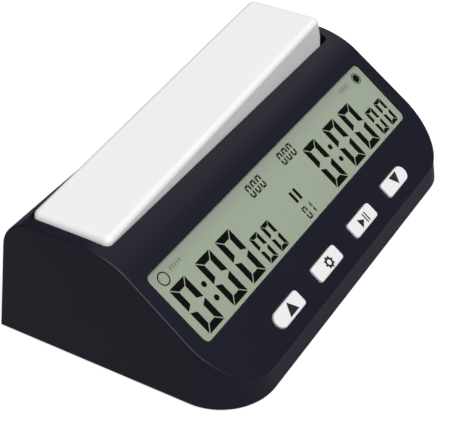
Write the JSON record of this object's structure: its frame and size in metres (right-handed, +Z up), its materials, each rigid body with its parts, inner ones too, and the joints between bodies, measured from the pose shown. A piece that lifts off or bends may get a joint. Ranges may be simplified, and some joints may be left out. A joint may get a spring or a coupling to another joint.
{
  "type": "chess clock",
  "caption": "Wedge-shaped digital chess clock: a tilting rocker on top, a display window and a row of push buttons on the front slope.",
  "frame": {"origin": "centre of the footprint on the table, at the underside of the rubber feet", "axes": "+X along the clock to the player's right seen from the front, +Y towards the back, +Z up"},
  "size_m": [0.16, 0.0924, 0.0562],
  "materials": {
    "dark_shell": "satin moulded, very dark navy charcoal",
    "white_plastic": "satin moulded, off-white",
    "clear_window": "clear, polished",
    "lcd": "grey-green reflective display behind a satin polariser",
    "black_plastic": "matt",
    "board": "green solder mask",
    "tinned_metal": "tin plated",
    "steel": "zinc plated",
    "rubber": "matt dark grey",
    "cell_sleeve": "printed sleeve, plain blue",
    "red_insulation": "smooth",
    "black_insulation": "smooth",
    "grey_insulation": "smooth"
  },
  "bodies": {
    "base": {"upper_housing": "dark_shell", "bottom_cover": "dark_shell", "display_lens": "clear_window", "lcd_glass": "lcd", "display_frame": "black_plastic", "contact_strip_lower": "rubber", "contact_strip_upper": "rubber", "main_board": "board", "controller_chip": "black_plastic", "quartz_crystal": "tinned_metal", "capacitor_1": "black_insulation", "capacitor_2": "black_insulation", "buzzer": "black_plastic", "board_screw_outer_left": "steel", "board_screw_inner_left": "steel", "board_screw_inner_right": "steel", "board_screw_outer_right": "steel", "tact_switch_up": "black_plastic", "tact_switch_settings": "black_plastic", "tact_switch_play_pause": "black_plastic", "tact_switch_down": "black_plastic", "rocker_shaft": "steel", "toggle_spring": "steel", "switch_board_left": "board", "switch_board_right": "board", "rocker_switch_left": "black_plastic", "rocker_switch_right": "black_plastic", "switch_board_screw_left": "steel", "switch_board_screw_right": "steel", "housing_screw_front_left": "steel", "housing_screw_front_right": "steel", "housing_screw_back_left": "steel", "housing_screw_back_right": "steel", "rubber_foot_front_left": "rubber", "rubber_foot_front_right": "rubber", "rubber_foot_back_left": "rubber", "rubber_foot_back_right": "rubber", "battery_cell": "cell_sleeve", "battery_spring": "tinned_metal", "battery_contact": "tinned_metal", "power_switch": "tinned_metal", "lead_red": "red_insulation", "lead_black": "black_insulation", "lead_switch_left": "grey_insulation", "lead_switch_right": "grey_insulation", "lead_power": "grey_insulation"},
    "rocker": {"rocker": "white_plastic"},
    "button_up": {"button_up": "white_plastic"},
    "button_settings": {"button_settings": "white_plastic"},
    "button_play_pause": {"button_play_pause": "white_plastic"},
    "button_down": {"button_down": "white_plastic"},
    "battery_door": {"battery_door": "dark_shell"},
    "power_slider": {"power_slider": "white_plastic"}
  },
  "joints": [
    {"name": "rocker_tilt", "type": "hinge", "parent": "base", "child": "rocker", "pos_m": [-0.0003, 0.0199, 0.0126], "axis": [0, 1, 0], "range_deg": [0, 8.5]},
    {"name": "press_up", "type": "slide", "parent": "base", "child": "button_up", "axis": [0, 0.606, -0.7955], "range_m": [0, 0.0006], "stiffness_N_per_m": 800},
    {"name": "press_settings", "type": "slide", "parent": "base", "child": "button_settings", "axis": [0, 0.606, -0.7955], "range_m": [0, 0.0006], "stiffness_N_per_m": 800},
    {"name": "press_play_pause", "type": "slide", "parent": "base", "child": "button_play_pause", "axis": [0, 0.606, -0.7955], "range_m": [0, 0.0006], "stiffness_N_per_m": 800},
    {"name": "press_down", "type": "slide", "parent": "base", "child": "button_down", "axis": [0, 0.606, -0.7955], "range_m": [0, 0.0006], "stiffness_N_per_m": 800},
    {"name": "battery_door_hinge", "type": "hinge", "parent": "base", "child": "battery_door", "pos_m": [-0.0093, 0, 0.0014], "axis": [0, -1, 0], "range_deg": [0, 60]},
    {"name": "power_slide", "type": "slide", "parent": "base", "child": "power_slider", "axis": [1, 0, 0], "range_m": [0, 0.003]}
  ]
}
